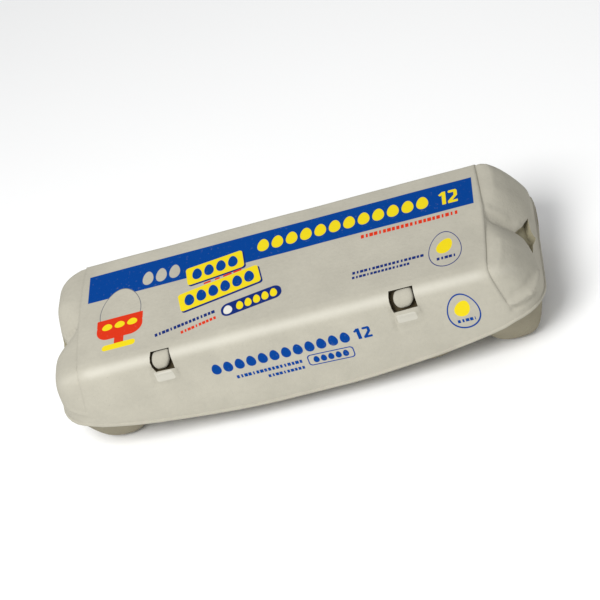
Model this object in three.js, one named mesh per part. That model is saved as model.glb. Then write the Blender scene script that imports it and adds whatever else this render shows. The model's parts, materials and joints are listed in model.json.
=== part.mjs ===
// Carton for twelve eggs, of moulded pulp, standing shut.
// Millimetres, +Z up, long way along X, opening side towards -Y, hinge side towards +Y.
// The origin is on the table under the middle of the carton, and the cup feet stand on Z = 0.
// The carton is shut, so the lid and the tray are each solid right through.

import * as THREE from 'three';

// Driving dimensions
const carton = { length: 300, width: 106.6, height: 68.4 };
const cornerRadius = { front: 27, back: 14 };
const touchGap = 0.45;

// Flat top of the lid, which ends in a crisp crease at both ends and bows a little outwards there
const panel = { halfLength: 123.4, halfWidth: 46, bow: 2, margin: 0.99 };
const bendLength = { front: 8, back: 2 };

// The front wall swells a little in its middle
const frontSwell = 0.7;

// Lower edge of the lid: it hangs lowest in the middle of the front and is highest at the hinge
const rim = {
  middleZ: 14.7,
  creaseZ: 28.5,
  cornerZ: 31,
  endZ: 28.5,
  hingeZ: 32,
  lip: 0.9,
  thickness: 1.6,
  wall: 2.2,
};
const rimCornerAngle = 0.405 * Math.PI;

// Each end of the lid has two rounded lobes, one over each row of eggs, and a valley between them
const lobe = { step: 1, roundFrom: { front: 0.62, back: 0.8 }, valleyTo: 0.42 };
const valley = { startX: 126.4, startZ: 65.6, ventX: 139.1, ventZ: 48.6, footX: 149.4, footZ: 40.5 };
const ventDepth = 4.5;

// Crest of each lobe, row by row from the crease to the fold: distance from the middle, and height
const crests = {
  left: {
    front: [
      [125.2, 67.5], [131.3, 66.9], [135.9, 65.3], [139.6, 62.6],
      [142.6, 58.9], [144.8, 54.2], [146.2, 48.6], [146.6, 41],
    ],
    back: [
      [125.2, 67.5], [134, 67.1], [138.3, 65.9], [141.4, 63.9],
      [143.7, 61.1], [145.3, 57.2], [146.3, 52], [146.6, 41],
    ],
  },
  right: {
    front: [
      [125.2, 67.4], [129.2, 68.7], [133.6, 68], [138.6, 63.2],
      [142.2, 57.4], [145.4, 51.4], [147.6, 45.6], [148.6, 41],
    ],
    back: [
      [125.2, 67.4], [129.2, 68.7], [133.6, 68], [138.6, 63.2],
      [142.2, 57.4], [145.4, 51.4], [148, 45], [149, 41],
    ],
  },
};

// Holes for the lock, cut across the front bend, each filled by a button of the tray's inner flap.
// The button's outline is given in shares of the hole's width and height, from the hole's top left.
const locks = [
  {
    name: 'left',
    x0: -77.6,
    x1: -66.2,
    strain: 1.9,
    outline: [
      [0.18, 0.04], [0.5, 0.035], [0.8, 0.035], [0.965, 0.04], [0.965, 0.25], [0.925, 0.54], [0.73, 0.83],
      [0.58, 0.965], [0.28, 0.97], [0.06, 0.965], [-0.06, 0.79], [-0.08, 0.53], [0, 0.27], [0.09, 0.11],
    ],
  },
  {
    name: 'right',
    x0: 66.4,
    x1: 80.4,
    strain: 0.9,
    outline: [
      [0.26, 0.06], [0.53, 0.035], [0.79, 0.035], [0.94, 0.08], [0.97, 0.34], [0.96, 0.57], [0.88, 0.77],
      [0.71, 0.965], [0.45, 0.97], [0.25, 0.965], [0.13, 0.8], [0.1, 0.55], [0.13, 0.34], [0.2, 0.17],
    ],
  },
];
const lock = {
  depth: 5,
  buttonDepth: 4,
  inwards: [0, 0.75, -0.66],
  lipOut: 0.9,
  lipEdge: 1.2,
  crown: 1,
  edgeDrop: 0.2,
};

// Tray: two rows of six rounded cups hanging from a flange that the lid closes on
const cups = { along: 6, across: 2, pitchX: 49, pitchY: 48, shiftX: 3 };
const cupForm = { footShare: 0.42, squareness: 2.7, steepness: 2.2 };
const tray = { seatZ: 26, webZ: 24.9, seatInset: 9, neckInset: 3.3, floorInset: 3.2 };
const flange = { frontInset: 2.75, endInset: 1, backInset: 0, thickness: 2.2, lowestZ: 28.5 };

// Rows of the lid's side, from the edge of the top panel down to the rim:
// four rows round the bend, then shares of the way down the flat of the wall
const bendRows = 4;
const foldRow = 8;
const wallShares = [0.23, 0.34, 0.43, 0.62, 0.75, 0.85, 0.94, 1];
const rimRow = bendRows + wallShares.length;
const hole = { topRow: 1, bottomRow: 5, rowShares: [0, 0.28, 0.55, 0.88, 1] };
const vent = { topRow: 5, sideRow: 7, bottomRow: 9, columns: 3 };

// Columns along the front, in millimetres, and across an end, as places from -1 to 1
const frontCells = [8, 1, 3, 1, 22, 1, 3, 1, 7];
const lockStops = locks.flatMap((l) => [l.x0 - lock.lipEdge, l.x0, l.x1, l.x1 + lock.lipEdge]);
const frontStops = [-panel.halfLength, ...lockStops, panel.halfLength];
const frontPlaces = frontCells.flatMap((cells, part) => {
  const start = frontStops[part];
  const step = (frontStops[part + 1] - start) / cells;
  return Array.from({ length: cells }, (_, i) => start + i * step);
});
frontPlaces.push(panel.halfLength);
const halfEnd = [0, 0.08, 0.17, 0.26, 0.42, 0.51, 0.6, 0.69, 0.78, 0.86, 0.93, 0.985, 1];
const endPlaces = [...halfEnd.slice(1).map((w) => -w).reverse(), ...halfEnd];

const pulp = { color: 0xc9c4b8, roughness: 0.92, metalness: 0 };

const mix = (a, b, share) => a.map((v, i) => v + (b[i] - v) * share);
const blend = (a, b, share) => a + (b - a) * share;
const shift = (p, direction, distance) => p.map((v, i) => v + direction[i] * distance);
const power = (value, exponent) => Math.pow(Math.abs(value), exponent);
const { clamp } = THREE.MathUtils;

// A closed skin, put together from points, rings and rectangular patches
class Skin {
  points = [];
  faces = [];

  add(point) {
    return this.points.push(point) - 1;
  }

  ring(points) {
    return points.map((point) => this.add(point));
  }

  quad(a, b, c, d) {
    this.faces.push(a, b, c, a, c, d);
  }

  // Strip between two rings of equal length, the upper one first
  band(upper, lower, skip = () => false) {
    upper.forEach((_, i) => {
      const next = (i + 1) % upper.length;
      if (!skip(i)) this.quad(upper[i], lower[i], lower[next], upper[next]);
    });
  }

  bands(...rings) {
    for (let k = 0; k + 1 < rings.length; k += 1) this.band(rings[k], rings[k + 1]);
  }

  // Patch over rows of points, each row running the same way
  patch(rows) {
    for (let j = 0; j + 1 < rows.length; j += 1) {
      for (let i = 0; i + 1 < rows[j].length; i += 1) {
        this.quad(rows[j][i], rows[j][i + 1], rows[j + 1][i + 1], rows[j + 1][i]);
      }
    }
  }

  // Flat face over a ring, looking up or down
  cap(ring, up) {
    const outline = ring.map((i) => new THREE.Vector2(this.points[i][0], this.points[i][1]));
    for (const [a, b, c] of THREE.ShapeUtils.triangulateShape(outline, [])) {
      if (up) this.faces.push(ring[a], ring[b], ring[c]);
      else this.faces.push(ring[a], ring[c], ring[b]);
    }
  }

  mesh(name) {
    const geometry = new THREE.BufferGeometry();
    geometry.setAttribute('position', new THREE.Float32BufferAttribute(this.points.flat(), 3));
    geometry.setIndex(this.faces);
    geometry.computeVertexNormals();
    const mesh = new THREE.Mesh(geometry, new THREE.MeshStandardMaterial(pulp));
    mesh.name = name;
    return mesh;
  }
}

// Plan of the lid's rim: a rectangle with round corners. The lid's walls end a lip's width inside it.
const radiusAt = (y) => (y < 0 ? cornerRadius.front : cornerRadius.back);

function roundedReach(along, far, straight, radius) {
  const past = clamp(Math.abs(along) - straight, 0, radius);
  return far - radius + Math.sqrt(radius * radius - past * past);
}

function rimCorner(y) {
  const radius = radiusAt(y) - rim.lip;
  return {
    radius,
    coreX: carton.length / 2 - radiusAt(y),
    coreY: carton.width / 2 - radiusAt(y),
    x: carton.length / 2 - radiusAt(y) + radius * Math.cos(rimCornerAngle),
    y: carton.width / 2 - radiusAt(y) + radius * Math.sin(rimCornerAngle),
  };
}

// Rim below a place on the front or back, or on an end
function rimUnderWall(x, side) {
  const corner = rimCorner(side);
  const spread = (corner.x - panel.halfLength) * power(x / panel.halfLength, 5) * Math.sign(x);
  const rimX = x + spread;
  const y = side * roundedReach(rimX, carton.width / 2 - rim.lip, corner.coreX, corner.radius);
  if (side > 0) return [rimX, y, rim.hingeZ + rim.thickness];
  const rise = (rim.creaseZ - rim.middleZ) * power(x / panel.halfLength, 2.2);
  const cornerRise = (rim.cornerZ - rim.creaseZ) * power(x / panel.halfLength, 10);
  return [rimX, y, rim.middleZ + rise + cornerRise + rim.thickness];
}

function rimUnderEnd(place, side) {
  const corner = rimCorner(place);
  const y = place * (corner.y - touchGap);
  const x = side * roundedReach(y, carton.length / 2 - rim.lip, corner.coreY, corner.radius);
  const rise = place < 0 ? (rim.cornerZ - rim.endZ) * place * place : (rim.hingeZ - rim.endZ) * place ** 3;
  return [x, y, rim.endZ + rise + rim.thickness];
}

const panelReach = (y) => panel.halfLength + panel.bow * (1 - (y / panel.halfWidth) ** 2);

// Front or back wall: a bend from the top panel, then a straight slope to the rim
function wallPoint(x, row, side) {
  const bend = side < 0 ? bendLength.front : bendLength.back;
  const edgeY = side * (panel.halfWidth - bend);
  const start = [(x / panel.halfLength) * panelReach(edgeY), edgeY, carton.height];
  const corner = [x, side * panel.halfWidth, carton.height];
  const foot = rimUnderWall(x, side);
  const length = Math.hypot(...corner.map((v, i) => v - foot[i]));
  const bendEnd = bend / length;
  const swollen = (point, share) => {
    const swell = side < 0 ? frontSwell * (1 - (x / panel.halfLength) ** 2) : 0;
    return shift(point, [0, -1, 0], swell * Math.sin(Math.PI * share));
  };
  if (row <= bendRows) {
    const t = row / bendRows;
    return swollen(mix(mix(start, corner, t), mix(corner, foot, t * bendEnd), t), t * t * bendEnd);
  }
  const shares = [bendEnd, ...wallShares];
  const before = Math.floor(row - bendRows);
  const after = Math.min(before + 1, shares.length - 1);
  const share = blend(shares[before], shares[after], row - bendRows - before);
  return swollen(mix(corner, foot, share), share);
}

const valleyWeight = (place) => power(Math.max(0, 1 - Math.abs(place) / lobe.valleyTo), 1.25);

// Part of an end above the fold: the lobes follow their crests, the valley runs down two straight legs.
// The outermost place lies a step inside the edge of the front or back wall, so that the crease shows.
function capPoint(place, row, side) {
  const corner = wallPoint(side * panel.halfLength, row, Math.sign(place) || 1);
  if (row <= 0) {
    const y = clamp(place, -panel.margin, panel.margin) * corner[1] * (Math.sign(place) || 1);
    return [side * panelReach(y), y, carton.height];
  }
  const across = Math.abs(place) * corner[1];
  const down = (row - 1) / (foldRow - 1);
  const crest = crests[side < 0 ? 'left' : 'right'][place < 0 ? 'front' : 'back'];
  const before = Math.min(Math.floor(row) - 1, crest.length - 2);
  const [crestX, crestZ] = mix(crest[before], crest[before + 1], row - 1 - before);
  const startX = panelReach(across) + 0.5;
  const onLobe = [side * (crestX + (startX - crest[0][0]) * (1 - down)), across, crestZ];
  const upperLeg = Math.min(1, (row - 1) / (vent.topRow - 1));
  const lowerLeg = Math.max(0, (row - vent.topRow) / (vent.bottomRow - vent.topRow));
  const inValley = [
    side * (blend(valley.startX, valley.ventX, upperLeg) + (valley.footX - valley.ventX) * lowerLeg),
    across,
    blend(valley.startZ, valley.ventZ, upperLeg) + (valley.footZ - valley.ventZ) * lowerLeg,
  ];
  const roundFrom = place < 0 ? lobe.roundFrom.front : lobe.roundFrom.back;
  const roundness = Math.max(0, Math.abs(place) - roundFrom) / (1 - roundFrom);
  const outer = 1 - Math.sqrt(1 - roundness * roundness);
  const creased = shift(corner, [side * 0.45, -Math.sign(corner[1]), -0.3], lobe.step * (1 - 0.5 * down));
  return mix(mix(onLobe, inValley, valleyWeight(place)), creased, outer);
}

// End of the lid, with the skirt below the fold
function endPoint(place, row, side) {
  if (row <= foldRow) return capPoint(place, row, side);
  const foot = rimUnderEnd(place, side);
  const fold = capPoint(place, foldRow, side);
  const low = mix(fold, foot, (row - foldRow) / (rimRow - foldRow));
  if (row > vent.bottomRow) return low;
  const deep = [side * valley.footX, place * rimCorner(place).y, valley.footZ];
  return mix(low, deep, valleyWeight(place) * (row - foldRow));
}

// The vent at the valley's foot is a star with four points, given as places and rows of the end
const starPoints = [
  [0, vent.topRow],
  [0.13, 6.2],
  [0.35, vent.sideRow],
  [0.13, 8],
  [0, vent.bottomRow],
];

function starBorder(column, row) {
  const m = vent.columns;
  const c = Math.abs(column);
  const downTo = (from, to) => (row - from) / (to - from);
  let [leg, along] = [3, 1 - c / m];
  if (row === vent.topRow) [leg, along] = [0, c / m];
  else if (c === m && row <= vent.sideRow) [leg, along] = [1, downTo(vent.topRow, vent.sideRow)];
  else if (c === m) [leg, along] = [2, downTo(vent.sideRow, vent.bottomRow)];
  const [place, atRow] = mix(starPoints[leg], starPoints[leg + 1], along);
  return [column < 0 ? -place : place * 0.78, atRow];
}

function onStar(column, row) {
  const c = Math.abs(column);
  if (c > vent.columns || row < vent.topRow || row > vent.bottomRow) return false;
  return c === vent.columns || row === vent.topRow || row === vent.bottomRow;
}

function endColumnPoint(column, row, side) {
  if (onStar(column, row)) return endPoint(...starBorder(column, row), side);
  return endPoint(endPlaces[column + halfEnd.length - 1], row, side);
}

// Front column: each button strains the left side of its hole, and pushes out the lip below it
function frontColumnPoint(x, row) {
  const l = locks.find((one) => x >= one.x0 - lock.lipEdge - 0.01 && x <= one.x1 + 0.01);
  if (!l) return wallPoint(x, row, -1);
  const inHole = clamp((row - hole.topRow) / (hole.bottomRow - hole.topRow), 0, 1);
  const strained = x < l.x0 + 0.01 ? l.strain * Math.sin(Math.PI * inHole ** 1.2) : 0;
  const point = wallPoint(x - strained, row, -1);
  const down = (row - hole.bottomRow) / 2;
  if (x < l.x0 - 0.01 || down < 0 || down >= 1) return point;
  return shift(point, [0, -1, 0.15], lock.lipOut * (1 - down * down));
}

// One ring round the lid, seen from above against the clock, from the front left corner
const endColumns = endPlaces.map((_, i) => i + 1 - halfEnd.length);

function sideRing(row) {
  return [
    ...frontPlaces.map((x) => frontColumnPoint(x, row)),
    ...endColumns.map((c) => endColumnPoint(c, row, 1)),
    ...[...frontPlaces].reverse().map((x) => wallPoint(x, row, 1)),
    ...[...endColumns].reverse().map((c) => endColumnPoint(c, row, -1)),
  ];
}

// Ring moved inwards from the plan of the rim, at heights worked out from the ring's own
function insetRing(ring, inset, heightAt) {
  return ring.map(([x, y, z]) => {
    const corner = rimCorner(y);
    const coreX = clamp(x, -corner.coreX, corner.coreX);
    const coreY = clamp(y, -corner.coreY, corner.coreY);
    const scale = (radiusAt(y) - inset) / Math.hypot(x - coreX, y - coreY);
    return [coreX + (x - coreX) * scale, coreY + (y - coreY) * scale, heightAt(z)];
  });
}

// Height of the inside corner between the lid's skirt and its underside, over a rim at a given height
const skirtTop = (rimZ) => Math.max(rimZ + 0.6, flange.lowestZ + 1);

// Blind recess below an open block of cells: straight walls, and a floor like the skin it was cut from
function sinkRecess(skin, rows, opening) {
  const { first, last, top, bottom, inwards, depth } = opening;
  const point = (row, column) => skin.points[rows[row][column]];
  const columnCount = last - first;
  const rowCount = bottom - top;
  const floor = [];
  for (let r = 0; r <= rowCount; r += 1) {
    floor.push([]);
    for (let c = 0; c <= columnCount; c += 1) {
      const across = mix(point(top + r, first), point(top + r, last), c / columnCount);
      const down = mix(point(top, first + c), point(bottom, first + c), r / rowCount);
      const onBorder = r === 0 || r === rowCount || c === 0 || c === columnCount;
      const above = onBorder ? point(top + r, first + c) : mix(across, down, 0.5);
      floor[r].push(skin.add(shift(above, inwards, depth)));
    }
  }
  skin.patch(floor.map((line) => [...line].reverse()));
  for (let c = 0; c < columnCount; c += 1) {
    const [a, b] = [first + c, first + c + 1];
    skin.quad(rows[top][a], floor[0][c], floor[0][c + 1], rows[top][b]);
    skin.quad(rows[bottom][b], floor[rowCount][c + 1], floor[rowCount][c], rows[bottom][a]);
  }
  for (let r = 0; r < rowCount; r += 1) {
    const [upper, lower] = [rows[top + r], rows[top + r + 1]];
    skin.quad(lower[first], floor[r + 1][0], floor[r][0], upper[first]);
    skin.quad(upper[last], floor[r][columnCount], floor[r + 1][columnCount], lower[last]);
  }
}

function buildLid() {
  const skin = new Skin();
  const along = frontPlaces.length;
  const endCount = endColumns.length;
  const count = 2 * (along + endCount);
  const rows = Array.from({ length: rimRow + 1 }, (_, row) => skin.ring(sideRing(row)));

  // Top panel, joined to the first ring
  const panelRows = endColumns.map((_, j) => {
    const y = skin.points[rows[0][along + j]][1];
    return frontPlaces.map((x, i) => {
      if (i === along - 1) return rows[0][along + j];
      if (i === 0) return rows[0][count - 1 - j];
      return skin.add([(x / panel.halfLength) * panelReach(y), y, carton.height]);
    });
  });
  const front = frontPlaces.map((_, i) => rows[0][i]);
  const back = frontPlaces.map((_, i) => rows[0][2 * along + endCount - 1 - i]);
  skin.patch([front, ...panelRows, back]);

  // Blocks of cells left open for the lock holes and for the vents
  const columnOf = (x) => frontPlaces.findIndex((place) => place >= x - 0.01);
  const openings = locks.map((l) => ({
    first: columnOf(l.x0),
    last: columnOf(l.x1),
    top: hole.topRow,
    bottom: hole.bottomRow,
    inwards: lock.inwards,
    depth: lock.depth,
  }));
  for (const side of [1, -1]) {
    const middle = (side > 0 ? along : 2 * along + endCount) + (endCount - 1) / 2;
    openings.push({
      first: middle - vent.columns,
      last: middle + vent.columns,
      top: vent.topRow,
      bottom: vent.bottomRow,
      inwards: [-0.74 * side, 0, -0.67],
      depth: ventDepth,
    });
  }
  for (let row = 0; row < rimRow; row += 1) {
    const open = (i) => openings.some((o) => i >= o.first && i < o.last && row >= o.top && row < o.bottom);
    skin.band(rows[row], rows[row + 1], open);
  }
  for (const opening of openings) sinkRecess(skin, rows, opening);

  // Rolled lip of the rim, the inner face of the skirt, and the underside that sits down in the tray
  const edge = rows[rimRow].map((i) => skin.points[i]);
  const lipTop = skin.ring(insetRing(edge, 0, (z) => z - 0.4));
  const lipFoot = skin.ring(insetRing(edge, 0.1, (z) => z - rim.thickness));
  const innerFoot = skin.ring(insetRing(edge, rim.wall, (z) => z - rim.thickness));
  const innerTop = skin.ring(insetRing(edge, rim.wall, (z) => skirtTop(z - rim.thickness)));
  const corner = skin.ring(insetRing(edge, tray.neckInset + 0.8, (z) => skirtTop(z - rim.thickness)));
  const seat = skin.ring(insetRing(edge, tray.seatInset, () => tray.seatZ + touchGap));
  skin.bands(rows[rimRow], lipTop, lipFoot, innerFoot, innerTop, corner, seat);
  skin.cap(seat, false);
  return skin.mesh('lid');
}

// Height of a cup's outside over a place in the plan
function cupZ(x, y) {
  const fromCentre = (v, pitch) => 2 * Math.abs(v / pitch - Math.floor(v / pitch) - 0.5);
  const p = cupForm.squareness;
  const nearX = fromCentre(x - cups.shiftX, cups.pitchX);
  const nearY = fromCentre(y, cups.pitchY);
  const away = Math.pow(nearX ** p + nearY ** p, 1 / p);
  const up = clamp((away - cupForm.footShare) / (1 - cupForm.footShare), 0, 1);
  return tray.webZ * up ** cupForm.steepness;
}

// Place of a square grid, moved so that the grid's corners follow the round corners of the plan
function roundPlan(u, v, inset) {
  const radius = radiusAt(v) - inset;
  const farX = carton.length / 2 - inset;
  const farY = carton.width / 2 - inset;
  const a = (Math.abs(u) * farX - (farX - radius)) / radius;
  const b = (Math.abs(v) * farY - (farY - radius)) / radius;
  if (a <= 0 || b <= 0) return [u * farX, v * farY];
  const x = farX - radius + radius * a * Math.sqrt(1 - (b * b) / 2);
  const y = farY - radius + radius * b * Math.sqrt(1 - (a * a) / 2);
  return [Math.sign(u) * x, Math.sign(v) * y];
}

// Height of the lid's lower edge over a place in the plan
function lidEdgeZ(x, y) {
  const corner = rimCorner(y);
  const panelX = Math.min(1, Math.abs(x) / corner.x) * panel.halfLength;
  if (Math.abs(x) < corner.x) return rimUnderWall(panelX, Math.sign(y))[2];
  return rimUnderEnd(clamp(y / corner.y, -1, 1), 1)[2];
}

function buildTray() {
  const skin = new Skin();
  const cellsPerCup = 8;
  const nx = cups.along * cellsPerCup;
  const ny = cups.across * cellsPerCup;
  const at = (i, j, inset) => roundPlan((2 * i) / nx - 1, (2 * j) / ny - 1, inset);
  const border = [
    ...Array.from({ length: nx }, (_, i) => [i, 0]),
    ...Array.from({ length: ny }, (_, j) => [nx, j]),
    ...Array.from({ length: nx }, (_, i) => [nx - i, ny]),
    ...Array.from({ length: ny }, (_, j) => [0, ny - j]),
  ];
  const lidZ = (i, j) => lidEdgeZ(...at(i, j, 0)) - rim.thickness;
  const flangeTop = (i, j) => Math.max(lidZ(i, j), flange.lowestZ) - touchGap;
  const flangeFoot = (i, j) => flangeTop(i, j) - flange.thickness;
  const flangeInset = (i, j) => {
    const { coreY } = rimCorner(-1);
    const share = clamp((at(i, j, 0)[1] + coreY) / (2 * coreY), 0, 1);
    if (share < 0.5) return blend(flange.frontInset, flange.endInset, share * 2);
    return blend(flange.endInset, flange.backInset, share * 2 - 1);
  };
  const ring = (insetAt, heightAt) => {
    return skin.ring(border.map(([i, j]) => [...at(i, j, insetAt(i, j)), heightAt(i, j)]));
  };

  // Seat of the lid, its raised border, and the flange
  const seat = ring(() => tray.seatInset - touchGap, () => tray.seatZ);
  const crest = ring(() => tray.neckInset + 0.3, (i, j) => skirtTop(lidZ(i, j)) - touchGap - 0.3);
  const neck = ring(() => tray.neckInset, flangeTop);
  const upper = ring(flangeInset, flangeTop);
  const lower = ring(flangeInset, flangeFoot);
  skin.cap(seat, true);
  skin.bands(seat, crest, neck, upper, lower);

  // Underside with the cups
  const floor = [];
  for (let j = 0; j <= ny; j += 1) {
    floor.push([]);
    for (let i = 0; i <= nx; i += 1) {
      const [x, y] = at(i, j, tray.floorInset);
      const onBorder = i === 0 || j === 0 || i === nx || j === ny;
      floor[j].push(skin.add([x, y, onBorder ? flangeFoot(i, j) - 0.3 : cupZ(x, y)]));
    }
  }
  skin.band(lower, border.map(([i, j]) => floor[j][i]));
  skin.patch(floor.map((line) => [...line].reverse()));
  return skin.mesh('tray');
}

const buttonMiddle = [0.46, 0.5];

// Row of the lid's side at a share of the hole's height
function rowInHole(share) {
  const after = Math.max(1, hole.rowShares.findIndex((one) => one >= share));
  const [from, to] = hole.rowShares.slice(after - 1, after + 1);
  return hole.topRow + after - 1 + (share - from) / (to - from);
}

function buildButton(l) {
  const skin = new Skin();
  const place = ([u, v], out) => {
    const onWall = wallPoint(blend(l.x0, l.x1, u), rowInHole(v), -1);
    return shift(onWall, lock.inwards, -out);
  };
  const ring = (share, out) => {
    return skin.ring([...l.outline].reverse().map((spot) => place(mix(buttonMiddle, spot, share), out)));
  };
  const inside = ring(0.4, lock.crown);
  const shoulder = ring(0.78, lock.crown * 0.75);
  const edge = ring(1, -lock.edgeDrop);
  const base = ring(1, -lock.buttonDepth);
  const front = skin.add(place(buttonMiddle, lock.crown));
  const back = skin.add(place(buttonMiddle, -lock.buttonDepth));
  skin.bands(inside, shoulder, edge, base);
  inside.forEach((_, i) => {
    const next = (i + 1) % inside.length;
    skin.faces.push(front, inside[i], inside[next], back, base[next], base[i]);
  });
  return skin.mesh(`lock_button_${l.name}`);
}

const eggCarton = new THREE.Group();
eggCarton.add(buildTray(), buildLid(), ...locks.map(buildButton));

export default eggCarton;
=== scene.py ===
import json
import math

import bpy
from mathutils import Matrix, Vector, kdtree, noise
from mathutils.geometry import intersect_point_line

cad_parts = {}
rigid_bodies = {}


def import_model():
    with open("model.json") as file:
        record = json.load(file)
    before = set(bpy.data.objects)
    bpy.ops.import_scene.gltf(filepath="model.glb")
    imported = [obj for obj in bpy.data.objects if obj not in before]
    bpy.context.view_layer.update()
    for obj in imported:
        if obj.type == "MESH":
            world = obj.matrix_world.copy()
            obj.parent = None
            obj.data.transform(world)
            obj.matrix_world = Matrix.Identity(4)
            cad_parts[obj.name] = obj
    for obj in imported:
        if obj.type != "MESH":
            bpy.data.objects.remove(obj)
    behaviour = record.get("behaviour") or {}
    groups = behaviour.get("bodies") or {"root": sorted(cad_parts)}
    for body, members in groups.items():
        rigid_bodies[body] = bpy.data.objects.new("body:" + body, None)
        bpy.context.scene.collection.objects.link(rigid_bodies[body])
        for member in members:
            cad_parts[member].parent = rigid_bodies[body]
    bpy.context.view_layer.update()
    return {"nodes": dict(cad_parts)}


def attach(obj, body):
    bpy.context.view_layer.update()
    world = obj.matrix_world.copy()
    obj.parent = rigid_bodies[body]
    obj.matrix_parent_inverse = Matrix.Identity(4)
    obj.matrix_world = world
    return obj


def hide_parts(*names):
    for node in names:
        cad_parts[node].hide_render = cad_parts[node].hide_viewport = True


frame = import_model()
bpy.ops.object.select_all(action="DESELECT")

# Tray: two rows of six cups hanging from a flange, of moulded pulp: waste paper beaten to a wet stock,
# sucked onto a wire mould and oven dried. It is moulded in one piece with the lid, joined at the hinge,
# and its outside is the wire side, greyer and rougher than the lid.
mm_in_metre = 1000


def merged_copy(node_name, piece_name):
    """Copy of a CAD node, with its doubles merged and its triangles joined to quads."""
    bpy.ops.object.select_all(action="DESELECT")
    node = frame["nodes"][node_name]
    node.select_set(True)
    bpy.context.view_layer.objects.active = node
    bpy.ops.object.duplicate()
    piece = bpy.context.active_object
    piece.name = piece_name
    bpy.ops.object.parent_clear(type="CLEAR_KEEP_TRANSFORM")
    bpy.ops.object.mode_set(mode="EDIT")
    bpy.ops.mesh.select_all(action="SELECT")
    bpy.ops.mesh.remove_doubles(threshold=0.00002)
    bpy.ops.mesh.tris_convert_to_quads(face_threshold=math.radians(60), shape_threshold=math.radians(80))
    bpy.ops.object.mode_set(mode="OBJECT")
    return piece


def keep_creases(degrees, crease):
    """Keeps the active piece's edges crisp where they are sharper than an angle."""
    bpy.ops.object.mode_set(mode="EDIT")
    bpy.ops.mesh.select_all(action="DESELECT")
    bpy.ops.mesh.edges_select_sharp(sharpness=math.radians(degrees))
    bpy.ops.transform.edge_crease(value=crease)
    bpy.ops.object.mode_set(mode="OBJECT")


def round_off(piece, levels):
    """Rounds the skin between the creases."""
    rounding = piece.modifiers.new("rounding", "SUBSURF")
    rounding.levels = levels
    rounding.render_levels = levels
    bpy.ops.object.modifier_apply(modifier="rounding")


tray = merged_copy("tray", "moulded_tray")
keep_creases(degrees=55, crease=0.7)
round_off(tray, levels=2)
bpy.ops.object.shade_smooth_by_angle(angle=math.radians(45))

# The cups dried a little out of true, in waves about 17 mm long
wave_height = 0.0004
waves_per_metre = 60
outwards = [v.normal.copy() for v in tray.data.vertices]
for v, outward in zip(tray.data.vertices, outwards):
    v.co += outward * wave_height * noise.noise(v.co * waves_per_metre)


def colour(code):
    """sRGB hex to the linear colour that a shader socket takes."""
    parts = [int(code[i : i + 2], 16) / 255 for i in (0, 2, 4)]
    return (*[c / 12.92 if c <= 0.04045 else ((c + 0.055) / 1.055) ** 2.4 for c in parts], 1)


def add(tree, kind, settings, inputs):
    """Adds a node with its settings, and sets or links its inputs."""
    node = tree.nodes.new(kind)
    for key, value in settings.items():
        setattr(node, key, value)
    for key, value in inputs.items():
        if isinstance(value, bpy.types.NodeSocket):
            tree.links.new(value, node.inputs[key])
        else:
            node.inputs[key].default_value = value
    return node


def new_group(name, inputs, outputs):
    """Node group with named sockets, given as pairs of name and kind."""
    group = bpy.data.node_groups.new(name, "ShaderNodeTree")
    for in_out, sockets in (("INPUT", inputs), ("OUTPUT", outputs)):
        for label, kind in sockets:
            group.interface.new_socket(label, in_out=in_out, socket_type="NodeSocket" + kind)
    return group


# Close up, pulp shows cloudy shades 25 mm across, clumps of 2 mm, pale fibres, and dark flecks of old
# print 3 mm apart. The fibres are drawn 1 mm apart, coarser than real ones, so that they show at all.
clouds_per_mm, clumps_per_mm, fibres_per_mm, flecks_per_mm = 0.04, 0.45, 1.1, 0.3
clump_height, fibre_height = 0.0006, 0.0001
pulp = new_group(
    "matted paper fibres",
    [("Colour", "Color"), ("Relief", "Float")],
    [("Colour", "Color"), ("Cover", "Float"), ("Normal", "Vector")],
)
given = add(pulp, "NodeGroupInput", {}, {})
place = add(pulp, "ShaderNodeTexCoord", {}, {})
in_mm = add(
    pulp,
    "ShaderNodeVectorMath",
    {"operation": "SCALE"},
    {0: place.outputs["Object"], "Scale": mm_in_metre},
)
clouds = add(
    pulp,
    "ShaderNodeTexNoise",
    {},
    {"Vector": in_mm.outputs[0], "Scale": clouds_per_mm, "Detail": 3, "Roughness": 0.6},
)
clumps = add(
    pulp,
    "ShaderNodeTexNoise",
    {},
    {"Vector": in_mm.outputs[0], "Scale": clumps_per_mm, "Detail": 4, "Roughness": 0.65},
)
fibres = add(
    pulp,
    "ShaderNodeTexNoise",
    {"noise_type": "RIDGED_MULTIFRACTAL"},
    {
        "Vector": in_mm.outputs[0],
        "Scale": fibres_per_mm,
        "Detail": 3,
        "Roughness": 0.55,
        "Distortion": 1.2,
    },
)
flecks = add(
    pulp,
    "ShaderNodeTexVoronoi",
    {},
    {"Vector": in_mm.outputs[0], "Scale": flecks_per_mm, "Randomness": 1.0},
)
cloud_shade = add(
    pulp,
    "ShaderNodeMapRange",
    {},
    {"Value": clouds.outputs["Fac"], "From Min": 0.3, "From Max": 0.7, "To Min": 0.94, "To Max": 1.05},
)
clump_shade = add(
    pulp,
    "ShaderNodeMapRange",
    {},
    {"Value": clumps.outputs["Fac"], "From Min": 0.3, "From Max": 0.7, "To Min": 0.97, "To Max": 1.02},
)
shade = add(
    pulp,
    "ShaderNodeMath",
    {"operation": "MULTIPLY"},
    {0: cloud_shade.outputs[0], 1: clump_shade.outputs[0]},
)
shaded = add(
    pulp,
    "ShaderNodeVectorMath",
    {"operation": "SCALE"},
    {0: given.outputs["Colour"], "Scale": shade.outputs[0]},
)
fibre_share = add(
    pulp,
    "ShaderNodeMapRange",
    {},
    {"Value": fibres.outputs["Fac"], "From Min": 0.9, "From Max": 1.7, "To Min": 0, "To Max": 0.16},
)
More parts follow.
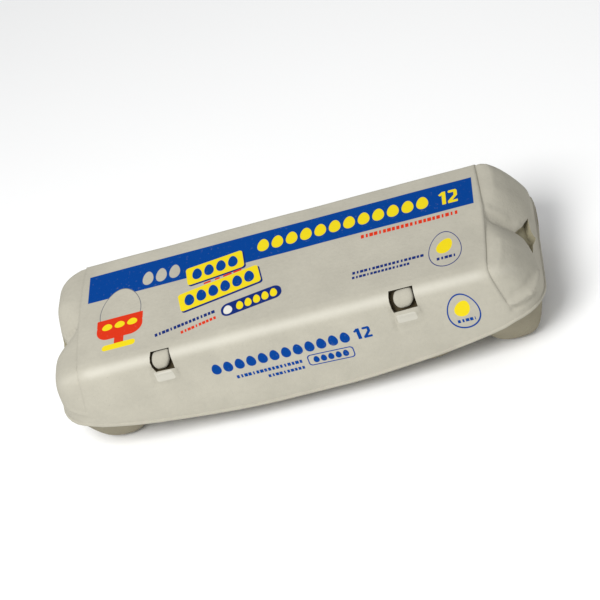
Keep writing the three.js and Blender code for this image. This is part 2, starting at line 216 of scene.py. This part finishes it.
with_fibres = add(
    pulp,
    "ShaderNodeMix",
    {"data_type": "RGBA"},
    {"Factor": fibre_share.outputs[0], "A": shaded.outputs[0], "B": colour("E0DCCC")},
)

# About one cell in four has a fleck, half a millimetre across and not quite dark
in_fleck = add(
    pulp,
    "ShaderNodeMapRange",
    {},
    {"Value": flecks.outputs["Distance"], "From Min": 0.09, "From Max": 0.04, "To Min": 0, "To Max": 1},
)
chance = add(pulp, "ShaderNodeSeparateColor", {}, {"Color": flecks.outputs["Color"]})
has_fleck = add(pulp, "ShaderNodeMath", {"operation": "GREATER_THAN"}, {0: chance.outputs[0], 1: 0.72})
fleck = add(
    pulp,
    "ShaderNodeMath",
    {"operation": "MULTIPLY"},
    {0: in_fleck.outputs[0], 1: has_fleck.outputs[0]},
)
fleck_share = add(pulp, "ShaderNodeMath", {"operation": "MULTIPLY"}, {0: fleck.outputs[0], 1: 0.35})
with_flecks = add(
    pulp,
    "ShaderNodeMix",
    {"data_type": "RGBA"},
    {"Factor": fleck_share.outputs[0], "A": with_fibres.outputs["Result"], "B": colour("6E675A")},
)

# Ink covers the clumps and misses a little of the low places between them
cover = add(
    pulp,
    "ShaderNodeMapRange",
    {},
    {"Value": clumps.outputs["Fac"], "From Min": 0.3, "From Max": 0.38, "To Min": 0.86, "To Max": 1.0},
)
clump_relief = add(
    pulp,
    "ShaderNodeBump",
    {},
    {
        "Strength": given.outputs["Relief"],
        "Distance": clump_height,
        "Height": clumps.outputs["Fac"],
    },
)
relief = add(
    pulp,
    "ShaderNodeBump",
    {},
    {
        "Strength": given.outputs["Relief"],
        "Distance": fibre_height,
        "Height": fibres.outputs["Fac"],
        "Normal": clump_relief.outputs[0],
    },
)
add(
    pulp,
    "NodeGroupOutput",
    {},
    {"Colour": with_flecks.outputs["Result"], "Cover": cover.outputs[0], "Normal": relief.outputs[0]},
)


def moulded_pulp(name, code, relief_strength, roughness):
    """Material of matted fibres, and the node in it that gives them. Dry pulp has hardly any gloss."""
    material = bpy.data.materials.new(name)
    material.use_nodes = True
    tree = material.node_tree
    matted = add(
        tree,
        "ShaderNodeGroup",
        {"node_tree": pulp},
        {"Colour": colour(code), "Relief": relief_strength},
    )
    shader = tree.nodes["Principled BSDF"]
    shader.inputs["Roughness"].default_value = roughness
    shader.inputs["Specular IOR Level"].default_value = 0.06
    tree.links.new(matted.outputs["Colour"], shader.inputs["Base Color"])
    tree.links.new(matted.outputs["Normal"], shader.inputs["Normal"])
    return material, matted


# The wire leaves the pulp grey, fully matt and rough to the eye
wire_side, _ = moulded_pulp("grey moulded pulp, wire side", "8F8977", 0.9, 0.93)
tray.data.materials.clear()
tray.data.materials.append(wire_side)
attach(tray, "root")
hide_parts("tray")

# Lid: moulded pulp, pressed smooth outside while it was damp, with a flat top and front for the print,
# lobes at the ends and a rolled rim. It shuts over the tray and is held by two holes over the tray's
# flap. The creases stay crisp, and the walls are a little wavy from the drying.
lid = merged_copy("lid", "moulded_lid")
keep_creases(degrees=30, crease=1.0)

# The holes of the locks and the vents: middle of the floor, way in from the skin, and its material, which
# paints shade into the floor.
# A floor's edge is found by the vertices of the mouth, which lie straight above it.
in_hole, in_vent = 1, 2
match_within = 0.00003
recesses = [
    ((-0.0719, -0.0423, 0.0607), (0, 0.00375, -0.0033), in_hole),
    ((0.0734, -0.0423, 0.0607), (0, 0.00375, -0.0033), in_hole),
    ((0.1409, 0, 0.0415), (-0.00333, 0, -0.003015), in_vent),
    ((-0.1409, 0, 0.0415), (0.00333, 0, -0.003015), in_vent),
]
points = kdtree.KDTree(len(lid.data.vertices))
for v in lid.data.vertices:
    points.insert(v.co, v.index)
points.balance()
for middle, way_in, inside in recesses:
    floor_edge = [points.find(v.co - Vector(way_in))[2] < match_within for v in lid.data.vertices]
    for edge in lid.data.edges:
        edge.use_seam = floor_edge[edge.vertices[0]] and floor_edge[edge.vertices[1]]
    bpy.ops.object.mode_set(mode="EDIT")
    bpy.ops.mesh.select_mode(type="FACE")
    bpy.ops.mesh.select_all(action="DESELECT")
    bpy.ops.object.mode_set(mode="OBJECT")
    floor_face = min(lid.data.polygons, key=lambda face: (face.center - Vector(middle)).length)
    floor_face.select = True
    bpy.ops.object.mode_set(mode="EDIT")
    bpy.ops.mesh.select_linked(delimit={"SEAM"})
    bpy.ops.mesh.select_more()
    bpy.ops.object.mode_set(mode="OBJECT")
    for face in lid.data.polygons:
        if face.select:
            face.material_index = inside
bpy.ops.object.mode_set(mode="EDIT")
bpy.ops.mesh.select_all(action="SELECT")
bpy.ops.mesh.mark_seam(clear=True)
bpy.ops.object.mode_set(mode="OBJECT")
round_off(lid, levels=2)

# Folds pressed into the skin: height and half width in millimetres, and the line that each one follows
folds = [
    # ledge over the skirt of the right end, with a groove on either side
    (1.7, 1.5, [(131, -49.4, 43), (133.3, -49, 42.6), (138.3, -47.5, 43), (142.1, -45.1, 43.6)]),
    (1.7, 1.5, [(142.8, -44.4, 43.6), (144.7, -42, 43.6), (147.1, -36.4, 43.6), (148, -30, 43)]),
    (-0.9, 1.6, [(131, -49.4, 38.4), (133.8, -49.3, 38.2), (139.3, -47.2, 38.6), (144.8, -42.6, 39.2)]),
    (-0.9, 2.0, [(134, -46.5, 48), (138.3, -44.5, 48.3), (142.1, -41, 48.6), (144.5, -36, 48)]),
    # valley and bulge beside the right crease
    (-0.8, 1.5, [(127, 1.1, 65.2), (130.4, -2.1, 61.3), (134.3, -0.4, 55.4)]),
    (0.8, 2.4, [(128.2, 8, 66.5), (129.2, 6.6, 64.8), (132.5, 5.9, 61.8), (136, 5.6, 57.6)]),
    # wrinkles of the left end
    (-0.5, 1.1, [(-133.5, 23, 67.1), (-130.9, 16.5, 66.6), (-130.1, 13.3, 66.1)]),
    (-0.8, 1.3, [(-132.2, 1.8, 59.4), (-136.4, 2.8, 55.4), (-142.7, 5.7, 50.6)]),
    # pressed-out lips below the lock holes: ridge at the top, groove on the left and below
    (0.7, 1.4, [(-78, -48.2, 56.6), (-73, -48.3, 56.3), (-68.4, -48.4, 56)]),
    (-1.0, 1.1, [(-79.6, -47, 60), (-79.4, -48.1, 57.5), (-81.4, -49.1, 48.7)]),
    (-0.5, 1.2, [(-81, -49.2, 47.6), (-75, -49.3, 47.6), (-68.4, -49.4, 47.6)]),
    (0.7, 1.4, [(67.8, -48.6, 54.6), (73, -48.6, 54.6), (78.2, -48.6, 54.6)]),
    (-1.0, 1.1, [(65.3, -47.2, 59), (65.6, -48.6, 55.4), (64.6, -49.5, 45.6)]),
    (-0.5, 1.2, [(65.4, -49.5, 45), (72, -49.5, 45), (78.4, -49.5, 45)]),
    # second lip over the rim of the front left corner
    (0.6, 1.3, [(-141, -45.5, 43), (-136.8, -47.8, 41.7), (-130.1, -49.9, 38.9)]),
]
farthest = 30
wave_height_mm = 0.25
waves_per_mm = 0.03


def distance(spot, line):
    """Distance from a spot to a line of straight lengths."""
    nearest = math.inf
    for start, end in zip(line, line[1:]):
        share = intersect_point_line(spot, Vector(start), Vector(end))[1]
        foot = Vector(start).lerp(Vector(end), min(max(share, 0), 1))
        nearest = min(nearest, (spot - foot).length)
    return nearest


outwards = [v.normal.copy() for v in lid.data.vertices]
for v, outward in zip(lid.data.vertices, outwards):
    spot = v.co * mm_in_metre
    push = wave_height_mm * noise.noise(spot * waves_per_mm)
    for height, half_width, line in folds:
        if (spot - Vector(line[1])).length <= farthest:
            push += height * math.exp(-((distance(spot, line) / half_width) ** 2))
    v.co += outward * push / mm_in_metre
bpy.ops.object.shade_smooth_by_angle(angle=math.radians(38))

# Print: flat inks from a rubber plate, a little starved where the pulp is low, soft for a quarter of a
# millimetre at the edges. A group gives one rounded block, one egg, or a row of either, in millimetres
# on the panel. An egg is a line of its own width, and a line wider than the egg fills it.
soft_edge = 0.12
filled = 99


def new_print(name, last_input):
    """Group for one print, with its input node and the spot on the panel seen from its centre."""
    vectors = [(label, "Vector") for label in ("At", "Centre", "Half size")]
    group = new_group(name, [*vectors, ("Turn", "Float"), (last_input, "Float")], [("Ink", "Float")])
    entry = add(group, "NodeGroupInput", {}, {})
    moved = add(
        group,
        "ShaderNodeVectorMath",
        {"operation": "SUBTRACT"},
        {0: entry.outputs["At"], 1: entry.outputs["Centre"]},
    )
    turned = add(
        group,
        "ShaderNodeVectorRotate",
        {"rotation_type": "Z_AXIS"},
        {"Vector": moved.outputs[0], "Angle": entry.outputs["Turn"]},
    )
    return group, entry, turned


def end_print(group, gap):
    """Ends a group with the ink inside its edge, from the distance past that edge."""
    ink = add(
        group,
        "ShaderNodeMapRange",
        {},
        {"Value": gap.outputs[0], "From Min": soft_edge, "From Max": -soft_edge, "To Min": 0, "To Max": 1},
    )
    add(group, "NodeGroupOutput", {}, {"Ink": ink.outputs[0]})


block, given, turned = new_print("printed block", "Corner")
folded = add(block, "ShaderNodeVectorMath", {"operation": "ABSOLUTE"}, {0: turned.outputs[0]})
core = add(
    block,
    "ShaderNodeVectorMath",
    {"operation": "SUBTRACT"},
    {0: given.outputs["Half size"], 1: given.outputs["Corner"]},
)
past = add(
    block,
    "ShaderNodeVectorMath",
    {"operation": "SUBTRACT"},
    {0: folded.outputs[0], 1: core.outputs[0]},
)
outside = add(block, "ShaderNodeVectorMath", {"operation": "MAXIMUM"}, {0: past.outputs[0], 1: (0, 0, 0)})
flat = add(block, "ShaderNodeVectorMath", {"operation": "MULTIPLY"}, {0: outside.outputs[0], 1: (1, 1, 0)})
reach = add(block, "ShaderNodeVectorMath", {"operation": "LENGTH"}, {0: flat.outputs[0]})
gap = add(
    block,
    "ShaderNodeMath",
    {"operation": "SUBTRACT"},
    {0: reach.outputs["Value"], 1: given.outputs["Corner"]},
)
end_print(block, gap)

# The egg stands with its blunt end down: it narrows by 15 % towards the top
egg, given, turned = new_print("printed egg", "Line")
scaled = add(
    egg,
    "ShaderNodeVectorMath",
    {"operation": "DIVIDE"},
    {0: turned.outputs[0], 1: given.outputs["Half size"]},
)
across = add(egg, "ShaderNodeSeparateXYZ", {}, {0: scaled.outputs[0]})
narrowing = add(
    egg,
    "ShaderNodeMath",
    {"operation": "MULTIPLY_ADD"},
    {0: across.outputs[1], 1: -0.15, 2: 1},
)
widened = add(
    egg,
    "ShaderNodeMath",
    {"operation": "DIVIDE"},
    {0: across.outputs[0], 1: narrowing.outputs[0]},
)
on_circle = add(egg, "ShaderNodeCombineXYZ", {}, {0: widened.outputs[0], 1: across.outputs[1]})
reach = add(egg, "ShaderNodeVectorMath", {"operation": "LENGTH"}, {0: on_circle.outputs[0]})
past = add(egg, "ShaderNodeMath", {"operation": "SUBTRACT"}, {0: reach.outputs["Value"], 1: 1})
size = add(egg, "ShaderNodeSeparateXYZ", {}, {0: given.outputs["Half size"]})
half_line = add(egg, "ShaderNodeMath", {"operation": "MULTIPLY"}, {0: given.outputs["Line"], 1: 0.5})
from_line = add(
    egg,
    "ShaderNodeMath",
    {"operation": "MULTIPLY_ADD"},
    {0: past.outputs[0], 1: size.outputs[0], 2: half_line.outputs[0]},
)
off_line = add(egg, "ShaderNodeMath", {"operation": "ABSOLUTE"}, {0: from_line.outputs[0]})
gap = add(
    egg,
    "ShaderNodeMath",
    {"operation": "SUBTRACT"},
    {0: off_line.outputs[0], 1: half_line.outputs[0]},
)
end_print(egg, gap)

# Row of cells of one pitch, each filled by a block of its own width, or by an egg. Each filling has
# its least and greatest half width as a share of the pitch, its group, and that group's last input.
rows = {}
for filling, least, greatest, shape, key, value in (
    ("blocks", 0.2, 0.46, block, "Corner", 0.3),
    ("eggs", 0.4, 0.4, egg, "Line", filled),
):
    row, given, turned = new_print(f"printed row of {filling}", "Pitch")
    rows[filling] = row
    across = add(row, "ShaderNodeSeparateXYZ", {}, {0: turned.outputs[0]})
    size = add(row, "ShaderNodeSeparateXYZ", {}, {0: given.outputs["Half size"]})
    from_left = add(
        row,
        "ShaderNodeMath",
        {"operation": "ADD"},
        {0: across.outputs[0], 1: size.outputs[0]},
    )
    steps = add(
        row,
        "ShaderNodeMath",
        {"operation": "DIVIDE"},
        {0: from_left.outputs[0], 1: given.outputs["Pitch"]},
    )
    in_cell = add(row, "ShaderNodeMath", {"operation": "FRACT"}, {0: steps.outputs[0]})
    off_middle = add(row, "ShaderNodeMath", {"operation": "SUBTRACT"}, {0: in_cell.outputs[0], 1: 0.5})
    off_middle_mm = add(
        row,
        "ShaderNodeMath",
        {"operation": "MULTIPLY"},
        {0: off_middle.outputs[0], 1: given.outputs["Pitch"]},
    )
    number = add(row, "ShaderNodeMath", {"operation": "FLOOR"}, {0: steps.outputs[0]})
    chance = add(row, "ShaderNodeTexWhiteNoise", {"noise_dimensions": "1D"}, {"W": number.outputs[0]})
    half_share = add(
        row,
        "ShaderNodeMapRange",
        {},
        {"Value": chance.outputs["Value"], "To Min": least, "To Max": greatest},
    )
    half_width = add(
        row,
        "ShaderNodeMath",
        {"operation": "MULTIPLY"},
        {0: half_share.outputs[0], 1: given.outputs["Pitch"]},
    )
    cell_at = add(row, "ShaderNodeCombineXYZ", {}, {0: off_middle_mm.outputs[0], 1: across.outputs[1]})
    cell_size = add(
        row,
        "ShaderNodeCombineXYZ",
        {},
        {0: half_width.outputs[0], 1: size.outputs[1], 2: 1},
    )
    mark = add(
        row,
        "ShaderNodeGroup",
        {"node_tree": shape},
        {
            "At": cell_at.outputs[0],
            "Centre": (0, 0, 0),
            "Half size": cell_size.outputs[0],
            "Turn": 0,
            key: value,
        },
    )
    sideways = add(row, "ShaderNodeMath", {"operation": "ABSOLUTE"}, {0: across.outputs[0]})
    in_row = add(
        row,
        "ShaderNodeMath",
        {"operation": "LESS_THAN"},
        {0: sideways.outputs[0], 1: size.outputs[0]},
    )
    marks = add(
        row,
        "ShaderNodeMath",
        {"operation": "MULTIPLY"},
        {0: mark.outputs[0], 1: in_row.outputs[0]},
    )
    add(row, "NodeGroupOutput", {}, {"Ink": marks.outputs[0]})

# The pressed side of the pulp is paler and smoother than the wire side, and the inks lie matt in it.
# The top's print is read from above and the front's from the front, each on its own panel only.
top_from_z = 67.7
front_to_y = -46.4
lid_pulp, matted = moulded_pulp("pale moulded pulp with flexo print", "B0AC9E", 0.45, 0.8)
tree = lid_pulp.node_tree
place = add(tree, "ShaderNodeTexCoord", {}, {})
in_mm = add(
    tree,
    "ShaderNodeVectorMath",
    {"operation": "SCALE"},
    {0: place.outputs["Object"], "Scale": mm_in_metre},
)
axes = add(tree, "ShaderNodeSeparateXYZ", {}, {0: in_mm.outputs[0]})
on_front = add(tree, "ShaderNodeCombineXYZ", {}, {0: axes.outputs[0], 1: axes.outputs[2]})
top_only = add(
    tree,
    "ShaderNodeMath",
    {"operation": "GREATER_THAN"},
    {0: axes.outputs[2], 1: top_from_z},
)
front_only = add(
    tree,
    "ShaderNodeMath",
    {"operation": "LESS_THAN"},
    {0: axes.outputs[1], 1: front_to_y},
)
panels = {
    "top": (in_mm.outputs[0], top_only.outputs[0]),
    "front": (on_front.outputs[0], front_only.outputs[0]),
}
kinds = {
    "block": (block, "Corner"),
    "words": (rows["blocks"], "Pitch"),
    "egg": (egg, "Line"),
    "eggs": (rows["eggs"], "Pitch"),
}
blue, navy, yellow, red, white = "003C88", "10286C", "E0CA1C", "CC3216", "D6D4CB"
# The pale colour named beside grey and bare is a painted highlight, for the lips below the lock holes
grey, painted_lip_highlight, bare = "6A6C70", "BFBCB0", None

# Each print: panel, ink, centre, half size, turn, kind, and its corner radius, pitch or line width.
# They are laid one over another in this order.
prints = [
    # lips below the lock holes: pale patches, a painted highlight of the light that the raised lips catch
    ("front", painted_lip_highlight, (-74.2, 53.6), (5.8, 3.6), 0, "block", 1.4),
    ("front", painted_lip_highlight, (72.4, 52.2), (5.8, 3.2), 0, "block", 1.4),
    # band with the number 12 in strokes, twelve eggs and three bare eggs
    ("top", blue, (0.3, 23.4), (120.6, 11.4), 0, "block", 0.3),
    ("top", yellow, (103.6, 22.9), (1.15, 5.5), 0, "block", 0.3),
    ("top", yellow, (102.2, 26.7), (1.6, 0.9), -0.7, "block", 0.3),
    ("top", yellow, (108.8, 27.3), (2.5, 1.05), 0, "block", 0.9),
    ("top", yellow, (110.6, 25.3), (1.05, 2.4), 0, "block", 0.9),
    ("top", yellow, (108.8, 21.2), (1.0, 3.6), 0.7, "block", 0.4),
    ("top", yellow, (108.9, 18.4), (2.9, 1.0), 0, "block", 0.3),
    ("top", yellow, (41.2, 23.4), (53.8, 5.1), 0, "eggs", 8.97),
    ("top", bare, (-73, 20.8), (12.9, 5.6), 0, "eggs", 8.6),
    # egg in an egg cup
    ("top", grey, (-98.3, 0), (13.2, 17.6), 0, "egg", filled),
    ("top", bare, (-98.3, 0), (12.7, 17.1), 0, "egg", filled),
    ("top", red, (-98.3, -14.5), (14.6, 8.2), 0, "block", 7.6),
    ("top", red, (-98.3, -9), (14.6, 3), 0, "block", 0.6),
    ("top", yellow, (-98.3, -12.5), (12, 2.6), 0, "eggs", 8),
    ("top", red, (-98.3, -24.5), (3, 4), 0, "block", 0.5),
    ("top", yellow, (-98.3, -29.6), (10.5, 2.3), 0, "block", 2.1),
    # two yellow plates with their shades and blue eggs
    ("top", navy, (-37.6, 13.4), (18.2, 7.6), -0.12, "block", 2),
    ("top", yellow, (-38.6, 14.6), (18, 7.4), -0.12, "block", 2),
    ("top", blue, (-38.6, 14.9), (15.2, 4.7), -0.12, "eggs", 7.6),
    ("top", navy, (-34.6, -5.1), (25.6, 7.7), -0.18, "block", 2),
    ("top", yellow, (-35.6, -3.8), (25.4, 7.5), -0.18, "block", 2),
    ("top", blue, (-35.6, -3.6), (22.8, 4.8), -0.18, "eggs", 7.6),
    ("top", red, (-33.5, 5.4), (13, 0.7), -0.16, "words", 6.4),
    # dark plate below them, with one white egg and five yellow ones
    ("top", navy, (-15.5, -21.2), (18.8, 5.3), -0.16, "block", 4.6),
    ("top", yellow, (-12.2, -20.7), (13.2, 3.4), -0.16, "eggs", 5.28),
    ("top", white, (-30, -23.6), (2.7, 3.5), -0.16, "egg", filled),
    # rows of small blocks
    ("top", navy, (-56.7, -25.9), (19.3, 1.3), -0.2, "words", 2.4),
    ("top", red, (-48.2, -30), (11.4, 1.2), -0.24, "words", 2.3),
    ("top", red, (81.8, 8.1), (29.8, 1.5), 0, "words", 2.7),
    ("top", navy, (67.5, -20.2), (21.7, 1.1), 0, "words", 2.4),
    ("top", navy, (62.8, -24), (17.3, 1.0), 0, "words", 2.2),
    # ring with an egg
    ("top", navy, (101.4, -19.3), (9.7, 14.2), 0, "egg", 0.45),
    ("top", yellow, (101.4, -17), (4.4, 6), 0.5, "egg", filled),
    ("top", navy, (101.4, -26.4), (5.6, 1.1), 0, "words", 2.4),
    # front: the number 12 in strokes and twelve eggs
    ("front", blue, (42.6, 48.6), (1.05, 3.9), 0, "block", 0.3),
    ("front", blue, (41.4, 51.2), (1.4, 0.7), -0.7, "block", 0.3),
    ("front", blue, (47.3, 51.6), (2.1, 0.8), 0, "block", 0.8),
    ("front", blue, (48.8, 50.2), (0.85, 1.8), 0, "block", 0.8),
    ("front", blue, (47.3, 47.3), (0.85, 2.7), 0.7, "block", 0.3),
    ("front", blue, (47.4, 45.3), (2.5, 0.8), 0, "block", 0.3),
    ("front", blue, (-5, 48.4), (42.6, 3.8), 0, "eggs", 7.1),
    # front: small outlined plate, rows of small blocks, and a ring with an egg
    ("front", blue, (22.5, 37.9), (13.9, 4.1), 0.04, "block", 2.2),
    ("front", bare, (22.5, 37.9), (13.2, 3.4), 0.04, "block", 1.8),
    ("front", blue, (22.5, 37.9), (11, 2.4), 0.04, "eggs", 4.4),
    ("front", blue, (-14.7, 39.4), (20.3, 1.2), 0, "words", 2.4),
    ("front", blue, (-5.9, 34.6), (11.3, 1.1), 0, "words", 2.3),
    ("front", blue, (103.8, 46.4), (9.4, 12.4), 0, "egg", 0.8),
    ("front", yellow, (103.8, 48.2), (4.3, 5.6), 0.5, "egg", filled),
    ("front", blue, (103.8, 39.8), (5.4, 1.1), 0, "words", 2.4),
]

# Painted highlight along the bend between the top and the front: the colour is lightened, standing in for
# the light that the bend catches, for 7 mm to either side of the line on which y + z is 21 mm, and hardly
# at the two ends of the panel
bend_y_plus_z = 21
bend_half_width = 7
bend_way = add(tree, "ShaderNodeMath", {"operation": "ADD"}, {0: axes.outputs[1], 1: axes.outputs[2]})
from_bend = add(
    tree,
    "ShaderNodeMath",
    {"operation": "SUBTRACT"},
    {0: bend_way.outputs[0], 1: bend_y_plus_z},
)
off_bend = add(tree, "ShaderNodeMath", {"operation": "ABSOLUTE"}, {0: from_bend.outputs[0]})
on_bend = add(
    tree,
    "ShaderNodeMapRange",
    {"interpolation_type": "SMOOTHSTEP"},
    {
        "Value": off_bend.outputs[0],
        "From Min": bend_half_width,
        "From Max": 0,
        "To Min": 0,
        "To Max": 0.4,
    },
)
near_front = add(
    tree,
    "ShaderNodeMapRange",
    {"interpolation_type": "SMOOTHSTEP"},
    {"Value": axes.outputs[1], "From Min": -35, "From Max": -41, "To Min": 0, "To Max": 1},
)
from_middle = add(tree, "ShaderNodeMath", {"operation": "ABSOLUTE"}, {0: axes.outputs[0]})
before_end = add(
    tree,
    "ShaderNodeMapRange",
    {"interpolation_type": "SMOOTHSTEP"},
    {"Value": from_middle.outputs[0], "From Min": 124, "From Max": 116, "To Min": 0.25, "To Max": 1},
)
on_front_bend = add(
    tree,
    "ShaderNodeMath",
    {"operation": "MULTIPLY"},
    {0: on_bend.outputs[0], 1: near_front.outputs[0]},
)
bend_highlight_share = add(
    tree,
    "ShaderNodeMath",
    {"operation": "MULTIPLY"},
    {0: on_front_bend.outputs[0], 1: before_end.outputs[0]},
)
# Mixes in the pale of the painted highlight on the bend
with_bend_highlight = add(
    tree,
    "ShaderNodeMix",
    {"data_type": "RGBA"},
    {"Factor": bend_highlight_share.outputs[0], "A": matted.outputs["Colour"], "B": colour("DAD7CB")},
)

# Each print goes over what lies below it
base = with_bend_highlight.outputs["Result"]
for panel, code, centre, half, turn, kind, value in prints:
    at, only = panels[panel]
    group, key = kinds[kind]
    mark = add(
        tree,
        "ShaderNodeGroup",
        {"node_tree": group},
        {"At": at, "Centre": (*centre, 0), "Half size": (*half, 1), "Turn": turn, key: value},
    )
    here = add(tree, "ShaderNodeMath", {"operation": "MULTIPLY"}, {0: mark.outputs[0], 1: only})
    cover = matted.outputs["Cover"] if code else 1
    share = add(tree, "ShaderNodeMath", {"operation": "MULTIPLY"}, {0: here.outputs[0], 1: cover})
    ink = colour(code) if code else matted.outputs["Colour"]
    printed = add(
        tree,
        "ShaderNodeMix",
        {"data_type": "RGBA"},
        {"Factor": share.outputs[0], "A": base, "B": ink},
    )
    base = printed.outputs["Result"]
tree.links.new(base, tree.nodes["Principled BSDF"].inputs["Base Color"])

# Painted shade: behind the lock holes the pulp is coloured dark for the dark of the shut carton, and in
# the vents greyer for the half shade there
hole_painted_shade, _ = moulded_pulp("moulded pulp darkened by painted shade in the lock holes", "564D3A", 0.6, 0.95)
vent_painted_shade, _ = moulded_pulp("moulded pulp darkened by painted half shade in the vents", "A09A82", 0.6, 0.95)
lid.data.materials[0] = lid_pulp
lid.data.materials.append(hole_painted_shade)
lid.data.materials.append(vent_painted_shade)
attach(lid, "root")
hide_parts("lid")

# Lock buttons: tips of the tray's inner flap, of the same moulded pulp. They are pressed out through
# the two holes in the lid when it is shut, and hold it there by their spring.
# The side that shows is the pressed one: pale and smoother than the wire side.
pressed_side, _ = moulded_pulp("pale moulded pulp, pressed side", "ADA99B", 0.45, 0.8)
for end in ("left", "right"):
    button = merged_copy(f"lock_button_{end}", f"flap_tip_{end}")
    round_off(button, levels=3)
    bpy.ops.object.shade_smooth()
    button.data.materials.clear()
    button.data.materials.append(pressed_side)
    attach(button, "root")
    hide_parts(f"lock_button_{end}")

# Floor: a plain pale sheet of matt paper that the carton stands on.
# Matt paper is nearly white, with hardly any change of tone and no gloss.
bpy.ops.mesh.primitive_plane_add(size=6, location=(0, 0, -0.0003))
floor = bpy.context.active_object
floor.name = "pale_floor"
paper = bpy.data.materials.new("matt white paper")
paper.use_nodes = True
tree = paper.node_tree
place = add(tree, "ShaderNodeTexCoord", {}, {})
tone = add(tree, "ShaderNodeTexNoise", {}, {"Vector": place.outputs["Object"], "Scale": 3.0, "Detail": 2})
mixed = add(
    tree,
    "ShaderNodeMix",
    {"data_type": "RGBA"},
    {"Factor": tone.outputs["Fac"], "A": colour("FBFBFA"), "B": colour("FEFEFD")},
)
shader = tree.nodes["Principled BSDF"]
tree.links.new(mixed.outputs["Result"], shader.inputs["Base Color"])
shader.inputs["Roughness"].default_value = 0.95
floor.data.materials.append(paper)

# Soft studio light: pale all round, with a broad lamp high in front and a little to the left.
# The standard view keeps the inks as strong as they are on the real carton.
world = bpy.data.worlds.new("pale studio")
bpy.context.scene.world = world
world.use_nodes = True
background = world.node_tree.nodes["Background"]
background.inputs["Color"].default_value = colour("FCFDFF")
background.inputs["Strength"].default_value = 0.55
bpy.ops.object.light_add(type="AREA", location=(-0.22, -0.57, 0.92))
lamp = bpy.context.active_object
lamp.data.size = 0.5
lamp.data.energy = 10
lamp_aim = Vector((0, 0, 0.03))
lamp.rotation_euler = (lamp_aim - lamp.location).to_track_quat("-Z", "Y").to_euler()
bpy.context.scene.view_settings.view_transform = "Standard"

# Camera: a long lens 1.2 m away, from the front and above, rolled so that the carton rises to the
# right in the picture
heading, elevation, roll = 17.18, 41.81, -26.0
carton_middle = Vector((0, 0, 0.036))
camera_offset = Vector((0.00338, 0.00348, 1.19205))
turn = (
    Matrix.Rotation(math.radians(heading), 3, "Z")
    @ Matrix.Rotation(math.radians(90 - elevation), 3, "X")
    @ Matrix.Rotation(math.radians(roll), 3, "Z")
)
bpy.ops.object.camera_add()
camera = bpy.context.active_object
camera.rotation_euler = turn.to_euler()
camera.location = carton_middle + turn @ camera_offset
camera.data.sensor_width = 36
camera.data.lens = 120
bpy.context.scene.camera = camera
